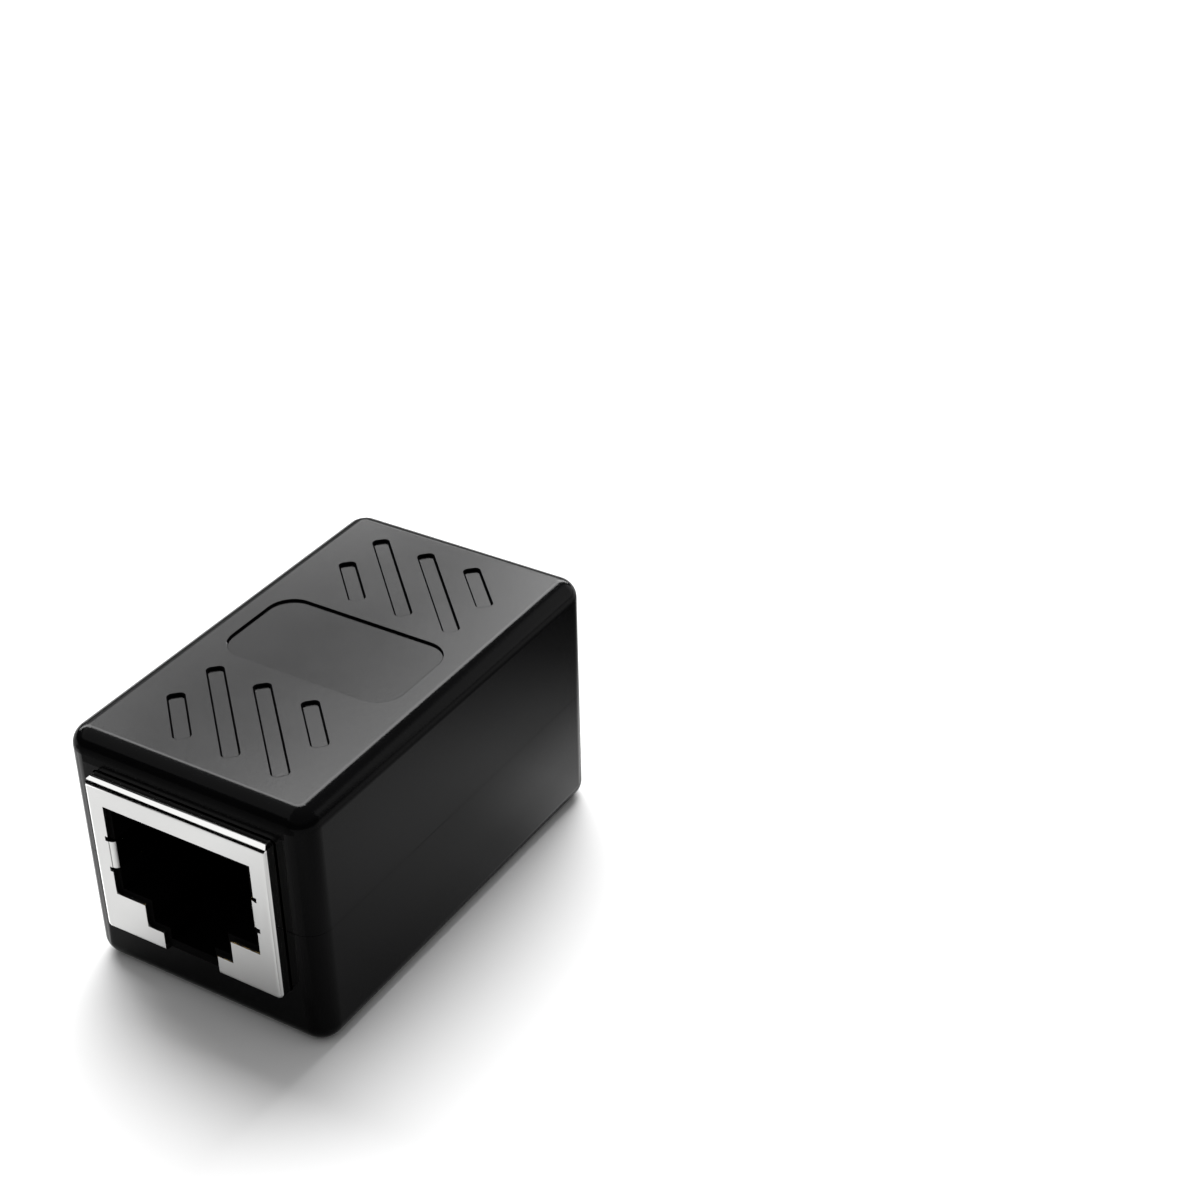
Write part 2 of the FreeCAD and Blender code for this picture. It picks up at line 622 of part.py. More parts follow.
def row_of(end, number):
    """Neighbouring contacts drop to different rows, so their holes stand apart."""
    return ends[end]["rows"][number % 2]


def contact_place(end, number):
    return f"{ends[end]['side']} * (({number} - 1) * contact_pitch - row_start)"


def seat(body, end, across="0"):
    """Put a piece that was drawn in a jack's own frame at one end of the casing."""
    body.Placement = FreeCAD.Placement(vector(0, 0, 0), FreeCAD.Rotation(vector(0, 0, 1), ends[end]["turn"]))
    bind(body, "Placement.Base.x", across)
    bind(body, "Placement.Base.y", ends[end]["place"])
    bind(body, "Placement.Base.z", "jack_base")
    return body


pieces = [casing_lower(), casing_upper(), circuit_board()]
for end, facts in ends.items():
    pieces.append(seat(shield(f"shield_{end}", facts["earth"]), end))
    pieces.append(seat(jack_body(f"jack_body_{end}"), end))
    pieces.append(seat(contact_carrier(f"contact_carrier_{end}"), end))
    for number in range(1, int(amount("contact_count")) + 1):
        piece = contact(f"contact_{end}_{number}", row_of(end, number))
        pieces.append(seat(piece, end, contact_place(end, number)))
doc.recompute()

for item in doc.Objects:
    if "Invalid" in item.State or "Error" in item.State:
        raise RuntimeError(f"{item.Label} failed: {item.State}")
os.makedirs("parts", exist_ok=True)
for piece in pieces:
    if piece.Shape.isNull() or not piece.Shape.isValid():
        raise RuntimeError(f"{piece.Label} has no valid shape")
    if len(piece.Shape.Solids) != 1:
        raise RuntimeError(f"{piece.Label} is {len(piece.Shape.Solids)} solids")
    piece.Shape.exportStep(f"parts/{piece.Label}.step")
    print(piece.Label, round(piece.Shape.Volume, 2))
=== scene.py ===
import bpy
import bmesh
import math
from mathutils import Matrix, Vector


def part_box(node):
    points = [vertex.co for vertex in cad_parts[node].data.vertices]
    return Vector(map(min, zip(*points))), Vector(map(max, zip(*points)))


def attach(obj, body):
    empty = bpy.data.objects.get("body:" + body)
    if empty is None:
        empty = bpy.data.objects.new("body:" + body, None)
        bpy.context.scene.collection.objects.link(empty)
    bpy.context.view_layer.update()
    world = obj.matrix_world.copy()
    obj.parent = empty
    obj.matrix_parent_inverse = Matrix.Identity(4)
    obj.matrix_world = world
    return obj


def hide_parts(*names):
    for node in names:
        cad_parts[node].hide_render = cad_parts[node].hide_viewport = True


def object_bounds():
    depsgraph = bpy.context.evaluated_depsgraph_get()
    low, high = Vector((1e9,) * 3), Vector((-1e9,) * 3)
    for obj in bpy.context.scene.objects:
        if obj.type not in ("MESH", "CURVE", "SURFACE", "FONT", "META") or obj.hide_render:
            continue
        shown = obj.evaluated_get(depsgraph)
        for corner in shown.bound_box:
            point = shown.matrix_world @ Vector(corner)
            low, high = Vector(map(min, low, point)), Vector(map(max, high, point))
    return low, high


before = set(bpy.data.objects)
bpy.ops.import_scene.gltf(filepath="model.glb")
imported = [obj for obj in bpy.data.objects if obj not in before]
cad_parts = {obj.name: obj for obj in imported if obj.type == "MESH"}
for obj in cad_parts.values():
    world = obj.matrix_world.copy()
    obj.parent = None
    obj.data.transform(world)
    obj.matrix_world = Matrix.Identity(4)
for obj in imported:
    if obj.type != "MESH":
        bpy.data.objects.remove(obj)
cadLow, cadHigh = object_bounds()
mm = 0.001
print("frame loaded:", len(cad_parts), "pieces")


# Node materials, all on Object coordinates in metres

def startMaterial(name):
    material = bpy.data.materials.new(name)
    material.use_nodes = True
    nodes = material.node_tree.nodes
    shader = nodes["Principled BSDF"]
    place = nodes.new("ShaderNodeTexCoord")
    return material, nodes, material.node_tree.links, shader, place.outputs["Object"]


def mathNode(nodes, links, operation, *values):
    node = nodes.new("ShaderNodeMath")
    node.operation = operation
    for socket, value in zip(node.inputs, values):
        if isinstance(value, float):
            socket.default_value = value
        else:
            links.new(value, socket)
    return node.outputs["Value"]


def alongAxes(nodes, links, place):
    split = nodes.new("ShaderNodeSeparateXYZ")
    links.new(place, split.inputs["Vector"])
    return split.outputs


def noiseAt(nodes, links, place, scale, detail, roughness=0.55, stretch=None):
    if stretch:
        mapping = nodes.new("ShaderNodeMapping")
        mapping.inputs["Scale"].default_value = stretch
        links.new(place, mapping.inputs["Vector"])
        place = mapping.outputs["Vector"]
    noise = nodes.new("ShaderNodeTexNoise")
    noise.inputs["Scale"].default_value = scale
    noise.inputs["Detail"].default_value = detail
    noise.inputs["Roughness"].default_value = roughness
    links.new(place, noise.inputs["Vector"])
    return noise.outputs["Fac"]


def spread(nodes, links, value, low, high, fromLow=0.3, fromHigh=0.7):
    # The usual span of a noise, or another one, widened to the wanted values
    ramp = nodes.new("ShaderNodeMapRange")
    ramp.inputs["From Min"].default_value = fromLow
    ramp.inputs["From Max"].default_value = fromHigh
    ramp.inputs["To Min"].default_value = low
    ramp.inputs["To Max"].default_value = high
    links.new(value, ramp.inputs["Value"])
    return ramp.outputs["Result"]


def tint(nodes, links, value, dark, light):
    mix = nodes.new("ShaderNodeMix")
    mix.data_type = "RGBA"
    mix.inputs[6].default_value = (*dark, 1.0)  # first colour
    mix.inputs[7].default_value = (*light, 1.0)  # second colour
    links.new(value, mix.inputs["Factor"])
    return mix.outputs[2]


def bumpFrom(nodes, links, height, strength, depth):
    bump = nodes.new("ShaderNodeBump")
    bump.inputs["Strength"].default_value = strength
    bump.inputs["Distance"].default_value = depth
    links.new(height, bump.inputs["Height"])
    return bump.outputs["Normal"]


def paintShadeWhere(nodes, links, shader, maskName, specular):
    # Painted shade: the mask's faces lose their sheen, so that they read darker, as if in shade
    mask = nodes.new("ShaderNodeAttribute")
    mask.attribute_name = maskName
    sheen = spread(nodes, links, mask.outputs["Fac"], specular, 0.0, 0.0, 1.0)
    links.new(sheen, shader.inputs["Specular IOR Level"])


# Plastics: a faint cloud in the tone and a very fine grain

casingFinish = {
    "dark": (0.0014, 0.0014, 0.0015), "light": (0.0024, 0.0024, 0.0026),
    "roughness": (0.11, 0.15), "specular": 0.03, "cloud": (160.0, 3.0),
    # The mask named on the line below paints shade: the faces it marks lose their sheen and read darker
    "grain": (5200.0, 6.0, 0.65), "grainStrength": 0.22, "grainDepth": 0.02 * mm, "paintedShadeMask": "paintedShade",
}
socketFinish = {
    "dark": (0.0006, 0.0006, 0.0006), "light": (0.0010, 0.0010, 0.0011),
    "roughness": (0.50, 0.62), "specular": 0.008, "cloud": (300.0, 3.0),
    "grain": (6000.0, 6.0, 0.65), "grainStrength": 0.2, "grainDepth": 0.02 * mm,
}
carrierFinish = {
    "dark": (0.0030, 0.0030, 0.0030), "light": (0.0050, 0.0050, 0.0050),
    "roughness": (0.45, 0.58), "specular": 0.1, "cloud": (400.0, 3.0),
    "grain": (7000.0, 6.0, 0.65), "grainStrength": 0.2, "grainDepth": 0.02 * mm,
}


def mouldedPlastic(name, facts):
    material, nodes, links, shader, place = startMaterial(name)
    cloud = noiseAt(nodes, links, place, *facts["cloud"])
    grain = noiseAt(nodes, links, place, *facts["grain"])
    links.new(tint(nodes, links, cloud, facts["dark"], facts["light"]), shader.inputs["Base Color"])
    links.new(spread(nodes, links, cloud, *facts["roughness"]), shader.inputs["Roughness"])
    shader.inputs["Specular IOR Level"].default_value = facts["specular"]
    # Painted shade: faces in the finish's mask lose their sheen
    if "paintedShadeMask" in facts:
        paintShadeWhere(nodes, links, shader, facts["paintedShadeMask"], facts["specular"])
    bump = bumpFrom(nodes, links, grain, facts["grainStrength"], facts["grainDepth"])
    links.new(bump, shader.inputs["Normal"])
    return material


# Metals: rolled plate, solder, and contacts that are gold in the port and tin at the board

nickelFinish = {
    "dark": (0.46, 0.46, 0.455), "light": (0.52, 0.52, 0.515), "roughness": (0.075, 0.115),
    "smudge": (190.0, 3.0), "rolled": (900.0, 5.0, 0.6, (1.0, 0.06, 14.0)),
    "rollStrength": 0.08, "rollDepth": 0.01 * mm,
}
solderFinish = {
    "dark": (0.50, 0.50, 0.49), "light": (0.66, 0.66, 0.65), "roughness": (0.16, 0.30),
    "smudge": (900.0, 3.0), "rolled": (1400.0, 5.0, 0.6, (1.0, 1.0, 1.0)),
    "rollStrength": 0.15, "rollDepth": 0.01 * mm,
}
contactFinish = {
    "gold": (0.83, 0.58, 0.22), "tin": (0.62, 0.61, 0.59), "roughness": (0.16, 0.26),
    "grain": (2600.0, 4.0), "grainStrength": 0.1, "grainDepth": 0.01 * mm,
    "tinUntil": 2.6 * mm, "goldFrom": 4.2 * mm,
}


def platedSteel(name, facts):
    material, nodes, links, shader, place = startMaterial(name)
    smudge = noiseAt(nodes, links, place, *facts["smudge"])
    rolled = noiseAt(nodes, links, place, *facts["rolled"])
    shader.inputs["Metallic"].default_value = 1.0
    links.new(tint(nodes, links, smudge, facts["dark"], facts["light"]), shader.inputs["Base Color"])
    links.new(spread(nodes, links, smudge, *facts["roughness"]), shader.inputs["Roughness"])
    bump = bumpFrom(nodes, links, rolled, facts["rollStrength"], facts["rollDepth"])
    links.new(bump, shader.inputs["Normal"])
    return material


def contactPlating(name, facts):
    material, nodes, links, shader, place = startMaterial(name)
    grain = noiseAt(nodes, links, place, *facts["grain"])
    fromBoard = mathNode(nodes, links, "ABSOLUTE", alongAxes(nodes, links, place)["Y"])
    plating = spread(nodes, links, fromBoard, 0.0, 1.0, facts["tinUntil"], facts["goldFrom"])
    shader.inputs["Metallic"].default_value = 1.0
    links.new(tint(nodes, links, plating, facts["tin"], facts["gold"]), shader.inputs["Base Color"])
    links.new(spread(nodes, links, grain, *facts["roughness"]), shader.inputs["Roughness"])
    bump = bumpFrom(nodes, links, grain, facts["grainStrength"], facts["grainDepth"])
    links.new(bump, shader.inputs["Normal"])
    return material


# Board: green mask over glass cloth, whose crossing threads show through faintly

laminateFinish = {
    "dark": (0.010, 0.075, 0.028), "light": (0.018, 0.115, 0.045), "roughness": (0.22, 0.34),
    "cloud": (240.0, 2.0), "weaveScale": 620.0, "weaveWander": 0.4, "weaveStrength": 0.1,
    "weaveDepth": 0.02 * mm,
}


def threadBands(nodes, links, place, facts, direction):
    threads = nodes.new("ShaderNodeTexWave")
    threads.bands_direction = direction
    threads.inputs["Scale"].default_value = facts["weaveScale"]
    threads.inputs["Distortion"].default_value = facts["weaveWander"]
    links.new(place, threads.inputs["Vector"])
    return threads.outputs["Fac"]


def boardLaminate(name, facts):
    material, nodes, links, shader, place = startMaterial(name)
    cloud = noiseAt(nodes, links, place, *facts["cloud"])
    warp, weft = (threadBands(nodes, links, place, facts, direction) for direction in ("X", "Z"))
    weave = mathNode(nodes, links, "MULTIPLY", warp, weft)
    links.new(tint(nodes, links, weave, facts["dark"], facts["light"]), shader.inputs["Base Color"])
    links.new(spread(nodes, links, cloud, *facts["roughness"]), shader.inputs["Roughness"])
    bump = bumpFrom(nodes, links, weave, facts["weaveStrength"], facts["weaveDepth"])
    links.new(bump, shader.inputs["Normal"])
    return material


casingPlastic = mouldedPlastic("casingPlastic", casingFinish)
socketPlastic = mouldedPlastic("socketPlastic", socketFinish)
carrierPlastic = mouldedPlastic("carrierPlastic", carrierFinish)
nickelPlate = platedSteel("nickelPlate", nickelFinish)
goldOverTin = contactPlating("goldOverTin", contactFinish)
tinSolder = platedSteel("tinSolder", solderFinish)
greenLaminate = boardLaminate("greenLaminate", laminateFinish)
print("materials ready")


# A clean copy of a CAD node: one skin, softened rims and even shading over the rounds

skinFacts = {
    "weld": 0.0005 * mm, "flatWithin": 0.6, "sharpest": 40.0, "smoothBelow": 32.0, "evenWeight": 100,
    "reach": 0.02 * mm, "cutWithin": 0.00001 * mm, "roundProfile": 0.5,
}


def addObject(name, data):
    added = bpy.data.objects.new(name, data)
    bpy.context.collection.objects.link(added)
    return added


def settle(piece):
    # What the modifiers make becomes the piece's own plain mesh
    bpy.context.view_layer.update()
    shown = piece.evaluated_get(bpy.context.evaluated_depsgraph_get())
    finished = bpy.data.meshes.new_from_object(shown)
    piece.modifiers.clear()
    piece.data = finished


def openSkin(nodeName):
    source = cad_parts[nodeName].data
    skin = bmesh.new()
    corners = [skin.verts.new(vertex.co) for vertex in source.vertices]
    for face in source.polygons:
        skin.faces.new([corners[index] for index in face.vertices])
    bmesh.ops.remove_doubles(skin, verts=skin.verts, dist=skinFacts["weld"])
    bmesh.ops.dissolve_limit(skin, angle_limit=math.radians(skinFacts["flatWithin"]), verts=skin.verts,
                             edges=skin.edges)
    return skin


def softenRims(skin, wanted, width, steps, clamped):
    # Rounds the sharp outer edges whose middle is wanted
    sharpest = math.radians(skinFacts["sharpest"])
    rims = []
    for edge in skin.edges:
        if len(edge.link_faces) == 2 and edge.is_convex and edge.calc_face_angle() > sharpest:
            if wanted((edge.verts[0].co + edge.verts[1].co) / 2):
                rims.append(edge)
    bmesh.ops.bevel(skin, geom=rims, offset=width, segments=steps, profile=skinFacts["roundProfile"],
                    affect="EDGES", clamp_overlap=clamped)


def finishSkin(skin, name, material):
    smoothBelow = math.radians(skinFacts["smoothBelow"])
    for face in skin.faces:
        face.smooth = True
    for edge in skin.edges:
        edge.smooth = len(edge.link_faces) == 2 and edge.calc_face_angle() < smoothBelow
    mesh = bpy.data.meshes.new(name)
    skin.to_mesh(mesh)
    skin.free()
    mesh.materials.append(material)
    piece = addObject(name, mesh)
    even = piece.modifiers.new("evenShading", "WEIGHTED_NORMAL")
    even.keep_sharp = True
    even.weight = skinFacts["evenWeight"]
    settle(piece)
    return piece


def standIn(piece, nodeName):
    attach(piece, "root")
    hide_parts(nodeName)


# Casing halves: the rims of the slots, the label recess and the end windows are softened, and shade is
# painted into the slots, the label recess and a band over each end window

casingFacts = {
    "slotRim": 0.14 * mm, "labelRim": 0.08 * mm, "endRim": 0.10 * mm, "rimSteps": 3,
    "recessDepth": 0.30 * mm, "belowTop": 0.002 * mm, "sideBorder": 2.0 * mm, "endBorder": 4.0 * mm,
    "labelHalf": (7.9 * mm, 4.4 * mm), "seenFrom": (0.53, -0.85),
    "slotWallsFrom": -0.6, "labelWallsFrom": 0.0,
    # The label floor's and the end bands' shares on these two lines are painted shade: how much sheen it
    # takes away
    "labelFloorShade": 0.16, "level": 0.999, "evenLevel": 0.9999, "evenLean": 0.8,
    "bandOver": 0.35 * mm, "bandDepth": 0.25 * mm, "bandLean": 0.9, "bandShade": 0.62,
}


def ofLabel(place):
    sideX, sideY = casingFacts["labelHalf"]
    return abs(place.x) < sideX and abs(place.y) < sideY


def inRecess(place):
    # In a slot or the label recess, below the top face and clear of the casing's edges
    facts = casingFacts
    deep = cadHigh.z - facts["recessDepth"] < place.z < cadHigh.z - facts["belowTop"]
    return (deep and abs(place.x) < cadHigh.x - facts["sideBorder"]
            and abs(place.y) < cadHigh.y - facts["endBorder"])


def paintShadeInRecesses(skin, paintedShade):
    # Painted shade: the walls and rims of the slots, apart from their near ends, and those of the label
    # recess only at its far sides, lose all their sheen and read dark; the label's floor loses a little
    facts = casingFacts
    towards = Vector(facts["seenFrom"])
    for face in skin.faces:
        middle, normal = face.calc_center_median(), face.normal
        if not inRecess(middle):
            continue
        label = ofLabel(middle)
        if normal.z > facts["level"]:
            face[paintedShade] = facts["labelFloorShade"] if label else 0.0
        elif normal.xy.normalized().dot(towards) > facts["labelWallsFrom" if label else "slotWallsFrom"]:
            face[paintedShade] = 1.0


def paintShadeOnEndBands(skin, paintedShade, endFace):
    # Painted shade: the casing loses some of its sheen over each end window, and a little way round the edge
    # above, so that this band reads darker
    facts = casingFacts
    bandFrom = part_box("shield_front")[1].z + facts["bandOver"]
    ends = [face for face in skin.faces if abs(face.normal.y) > facts["level"]
            and abs(abs(face.calc_center_median().y) - endFace) < skinFacts["reach"]]
    edges = dict.fromkeys(edge for face in ends for edge in face.edges)
    corners = dict.fromkeys(corner for face in ends for corner in face.verts)
    bmesh.ops.bisect_plane(skin, geom=[*corners, *edges, *ends], dist=skinFacts["cutWithin"],
                           plane_co=(0, 0, bandFrom), plane_no=(0, 0, 1))
    for face in skin.faces:
        middle = face.calc_center_median()
        atEnd = abs(face.normal.y) > facts["bandLean"] and abs(middle.y) > endFace - facts["bandDepth"]
        if atEnd and middle.z > bandFrom:
            face[paintedShade] = facts["bandShade"]


def evenFlats(piece):
    # Corners of the level faces get one upright normal, so that the flat top mirrors without streaks
    mesh = piece.data
    flat = set()
    for face in mesh.polygons:
        if face.normal.z > casingFacts["evenLevel"]:
            flat.update(face.vertices)
    upright = Vector((0, 0, 1))
    normals = []
    for loop in mesh.loops:
        own = mesh.corner_normals[loop.index].vector
        evened = loop.vertex_index in flat and own.z > casingFacts["evenLean"]
        normals.append(upright if evened else own.copy())
    mesh.normals_split_custom_set(normals)


def casingHalf(nodeName, name):
    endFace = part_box(nodeName)[1].y
    skin = openSkin(nodeName)

    def onTopFace(middle):
        return abs(middle.z - cadHigh.z) < skinFacts["reach"]

    def onSlot(middle):
        return onTopFace(middle) and not ofLabel(middle)

    def onLabel(middle):
        return onTopFace(middle) and ofLabel(middle)

    def onEndFace(middle):
        return abs(abs(middle.y) - endFace) < skinFacts["reach"]

    for wanted, rim, clamped in ((onSlot, "slotRim", False), (onLabel, "labelRim", False),
                                 (onEndFace, "endRim", True)):
        softenRims(skin, wanted, casingFacts[rim], casingFacts["rimSteps"], clamped)
    skin.normal_update()
    # Painted shade: faces marked in this layer lose their sheen and read darker
    paintedShade = skin.faces.layers.float.new(casingFinish["paintedShadeMask"])
    paintShadeInRecesses(skin, paintedShade)
    paintShadeOnEndBands(skin, paintedShade, endFace)
    piece = finishSkin(skin, name, casingPlastic)
    evenFlats(piece)
    standIn(piece, nodeName)


casingHalf("casing_upper", "upperCasing")
casingHalf("casing_lower", "lowerCasing")
print("casing halves done")


# Shields: the folded top edge is rolled, and the stamped window's edge is broken

shieldFacts = {"edgeBreak": 0.04 * mm, "edgeSteps": 2, "rollRadius": 0.7 * mm, "rollSteps": 9}


def rollTopEdge(skin, faceY, inward, topZ):
    radius, steps = shieldFacts["rollRadius"], shieldFacts["rollSteps"]
    centre = Vector((0, faceY + inward * radius, topZ - radius))
    for step in range(steps):
        angle = math.pi / 2 * (step + 0.5) / steps
        outward = Vector((0, -inward * math.sin(angle), math.cos(angle)))
        everything = skin.verts[:] + skin.edges[:] + skin.faces[:]
        bmesh.ops.bisect_plane(skin, geom=everything, dist=skinFacts["cutWithin"],
                               plane_co=centre + outward * radius, plane_no=outward, clear_outer=True)
        bmesh.ops.holes_fill(skin, edges=[edge for edge in skin.edges if edge.is_boundary], sides=0)
    skin.normal_update()


def plateShield(end):
    nodeName = f"shield_{end}"
    low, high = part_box(nodeName)
    skin = openSkin(nodeName)
    faceY, inward = (low.y, 1) if end == "front" else (high.y, -1)
    softenRims(skin, lambda middle: abs(middle.y - faceY) < skinFacts["reach"], shieldFacts["edgeBreak"],
               shieldFacts["edgeSteps"], True)
    rollTopEdge(skin, faceY, inward, high.z)
    standIn(finishSkin(skin, f"{end}Shield", nickelPlate), nodeName)


for end in ("front", "rear"):
    plateShield(end)
print("shields done")


# Sockets, contact carriers, contacts and board, in the depth of the ports

ways = range(1, 9)


def plainCopy(nodeName, name, material):
    standIn(finishSkin(openSkin(nodeName), name, material), nodeName)


for end in ("front", "rear"):
    plainCopy(f"jack_body_{end}", f"{end}Socket", socketPlastic)
    plainCopy(f"contact_carrier_{end}", f"{end}Carrier", carrierPlastic)
    for way in ways:
        plainCopy(f"contact_{end}_{way}", f"{end}Contact{way}", goldOverTin)
plainCopy("circuit_board", "joiningBoard", greenLaminate)
print("inside done")


# Solder joints: a hollow-sided cone of solder round every tail, where it comes through the board

solderFacts = {
    "padRadius": 0.55 * mm, "tipRadius": 0.27 * mm, "jointHeight": 0.26 * mm, "hollow": 0.9,
    "sides": 20, "rings": 6, "earthSpread": 1.5, "tailReach": 1.0 * mm,
}


def solderTree():
    tree = bpy.data.node_groups.new("solderJoints", "GeometryNodeTree")
    sockets = [(name, "Float") for name in ("Pad Radius", "Tip Radius", "Joint Height", "Hollow")]
    sockets += [("Sides", "Int"), ("Rings", "Int"), ("Facing", "Vector"), ("Finish", "Material")]
    for name, kind in [("Places", "Geometry"), *sockets]:
        tree.interface.new_socket(name, in_out="INPUT", socket_type="NodeSocket" + kind)
    tree.interface.new_socket("Joints", in_out="OUTPUT", socket_type="NodeSocketGeometry")
    nodes, links = tree.nodes, tree.links
    given = nodes.new("NodeGroupInput").outputs

    def maths(operation, *values):
        return mathNode(nodes, links, operation, *values)

    cone = nodes.new("GeometryNodeMeshCone")
    for name, source in (("Vertices", "Sides"), ("Side Segments", "Rings"), ("Radius Top", "Tip Radius"),
                         ("Radius Bottom", "Pad Radius"), ("Depth", "Joint Height")):
        links.new(given[source], cone.inputs[name])
    here = alongAxes(nodes, links, nodes.new("GeometryNodeInputPosition").outputs["Position"])
    rise = maths("DIVIDE", here["Z"], given["Joint Height"])
    dip = maths("MULTIPLY", maths("MULTIPLY", rise, maths("SUBTRACT", 1.0, rise)), given["Hollow"])
    inward = maths("MULTIPLY", dip, -1.0)
    offset = nodes.new("ShaderNodeCombineXYZ")
    for axis in ("X", "Y"):
        links.new(maths("MULTIPLY", here[axis], inward), offset.inputs[axis])
    shaped = nodes.new("GeometryNodeSetPosition")
    links.new(cone.outputs["Mesh"], shaped.inputs["Geometry"])
    links.new(offset.outputs["Vector"], shaped.inputs["Offset"])
    turn = nodes.new("FunctionNodeAlignRotationToVector")
    turn.axis = "Z"
    links.new(given["Facing"], turn.inputs["Vector"])
    wide = nodes.new("GeometryNodeInputNamedAttribute")
    wide.data_type = "FLOAT"
    wide.inputs["Name"].default_value = "spread"
    size = nodes.new("ShaderNodeCombineXYZ")
    links.new(wide.outputs["Attribute"], size.inputs["X"])
    links.new(wide.outputs["Attribute"], size.inputs["Y"])
    size.inputs["Z"].default_value = 1.0
    placed = nodes.new("GeometryNodeInstanceOnPoints")
    links.new(given["Places"], placed.inputs["Points"])
    links.new(shaped.outputs["Geometry"], placed.inputs["Instance"])
    links.new(turn.outputs["Rotation"], placed.inputs["Rotation"])
    links.new(size.outputs["Vector"], placed.inputs["Scale"])
    real = nodes.new("GeometryNodeRealizeInstances")
    links.new(placed.outputs["Instances"], real.inputs["Geometry"])
    finish = nodes.new("GeometryNodeSetMaterial")
    links.new(real.outputs["Geometry"], finish.inputs["Geometry"])
    links.new(given["Finish"], finish.inputs["Material"])
    links.new(finish.outputs["Geometry"], nodes.new("NodeGroupOutput").inputs["Joints"])
    return tree


def tailsThrough(end, boardLow, boardHigh):
    # Where each tail of one jack comes out of the board, and how far its solder spreads
    beyond, face = (1, boardHigh.y) if end == "front" else (-1, boardLow.y)
    groups = [(f"contact_{end}_{way}", 0, 1.0) for way in ways]
    groups += [(f"shield_{end}", side, solderFacts["earthSpread"]) for side in (-1, 1)]
    places = []
    for nodeName, side, width in groups:
        tips = [vertex.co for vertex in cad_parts[nodeName].data.vertices
                if 0 < (vertex.co.y - face) * beyond < solderFacts["tailReach"]
                and vertex.co.x * side >= 0]
        middle = sum(tips, Vector()) / len(tips)
        places.append(((middle.x, face, middle.z), width))
    return places, (0, beyond, 0)


def solderSide(end, tree):
    places, facing = tailsThrough(end, *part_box("circuit_board"))
    mesh = bpy.data.meshes.new(f"{end}Solder")
    mesh.from_pydata([place for place, width in places], [], [])
    spreadOut = mesh.attributes.new("spread", "FLOAT", "POINT")
    for index, (place, width) in enumerate(places):
        spreadOut.data[index].value = width
    piece = addObject(f"{end}Solder", mesh)
    grow = piece.modifiers.new("solderJoints", "NODES")
    grow.node_group = tree
    values = {
        "Pad Radius": solderFacts["padRadius"], "Tip Radius": solderFacts["tipRadius"],
        "Joint Height": solderFacts["jointHeight"], "Hollow": solderFacts["hollow"],
        "Sides": solderFacts["sides"], "Rings": solderFacts["rings"], "Facing": facing, "Finish": tinSolder,
    }
    for port in tree.interface.items_tree:
        if port.name in values:
            grow[port.identifier] = values[port.name]
    settle(piece)
    for face in piece.data.polygons:
        face.use_smooth = len(face.vertices) == 4  # the cones' sides, not their flat ends
    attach(piece, "root")
    return len(piece.data.polygons)


jointTree = solderTree()
print("solder faces:", sum(solderSide(end, jointTree) for end in ("front", "rear")))


# Camera, fitted to the casing's outline in the photo

cameraFacts = {
    "azimuth": 31.875, "elevation": 32.696, "roll": -1.145, "focalPixels": 2289.2, "frameWidth": 1200,
    "across": 18.807 * mm, "up": 20.439 * mm, "back": 175.880 * mm, "sensor": 36.0, "clip": (0.01, 20.0),
}


def cameraStance():
    angles = ("azimuth", "elevation", "roll")
    azimuth, elevation, roll = (math.radians(cameraFacts[angle]) for angle in angles)
    back = Vector((math.sin(azimuth) * math.cos(elevation), -math.cos(azimuth) * math.cos(elevation),
                   math.sin(elevation)))
    level = Vector((math.cos(azimuth), math.sin(azimuth), 0))
    upright = back.cross(level)
    right = level * math.cos(roll) + upright * math.sin(roll)
    up = upright * math.cos(roll) - level * math.sin(roll)
    turn = Matrix((right, up, back)).transposed()
    place = turn @ Vector((cameraFacts["across"], cameraFacts["up"], cameraFacts["back"]))
    return place, turn


def makeCamera(place, turn):
    data = bpy.data.cameras.new("photoView")
    data.sensor_width = cameraFacts["sensor"]
    data.lens = cameraFacts["focalPixels"] / cameraFacts["frameWidth"] * cameraFacts["sensor"]
    data.clip_start, data.clip_end = cameraFacts["clip"]
    camera = addObject("photoView", data)
    camera.matrix_world = Matrix.Translation(place) @ turn.to_4x4()
    bpy.context.scene.camera = camera


# Studio: pale floor, a large soft box overhead and a pale dome that darkens towards the horizon

floorFacts = {"size": 24.0, "tone": 0.86, "lift": 1.02, "cloud": (3.0, 2.0), "roughness": 0.9}
boxFacts = {"place": (-0.61, 1.02, 1.0), "size": (1.38, 1.75), "power": 59.0}
roomFacts = {"dome": 0.50, "horizon": 0.02, "fadeFrom": 0.30, "fadeTo": 0.60}


def flatSheet(name, corners):
    mesh = bpy.data.meshes.new(name)
    mesh.from_pydata(corners, [], [(0, 1, 2, 3)])
    return addObject(name, mesh)


def makeFloor():
    half = floorFacts["size"] / 2
    floor = flatSheet("studioFloor", [(-half, -half, 0), (half, -half, 0), (half, half, 0), (-half, half, 0)])
    material, nodes, links, shader, place = startMaterial("paleFloor")
    cloud = noiseAt(nodes, links, place, *floorFacts["cloud"])
    tone, lifted = floorFacts["tone"], floorFacts["tone"] * floorFacts["lift"]
    shade = tint(nodes, links, cloud, (tone, tone, tone), (lifted, lifted, lifted))
    links.new(shade, shader.inputs["Base Color"])
    shader.inputs["Roughness"].default_value = floorFacts["roughness"]
    shader.inputs["Specular IOR Level"].default_value = 0.0
    floor.data.materials.append(material)


def softBox():
    data = bpy.data.lights.new("softBox", "AREA")
    data.shape = "RECTANGLE"
    data.size, data.size_y = boxFacts["size"]
    data.energy = boxFacts["power"]
    light = addObject("softBox", data)
    light.location = boxFacts["place"]
    light.visible_glossy = False


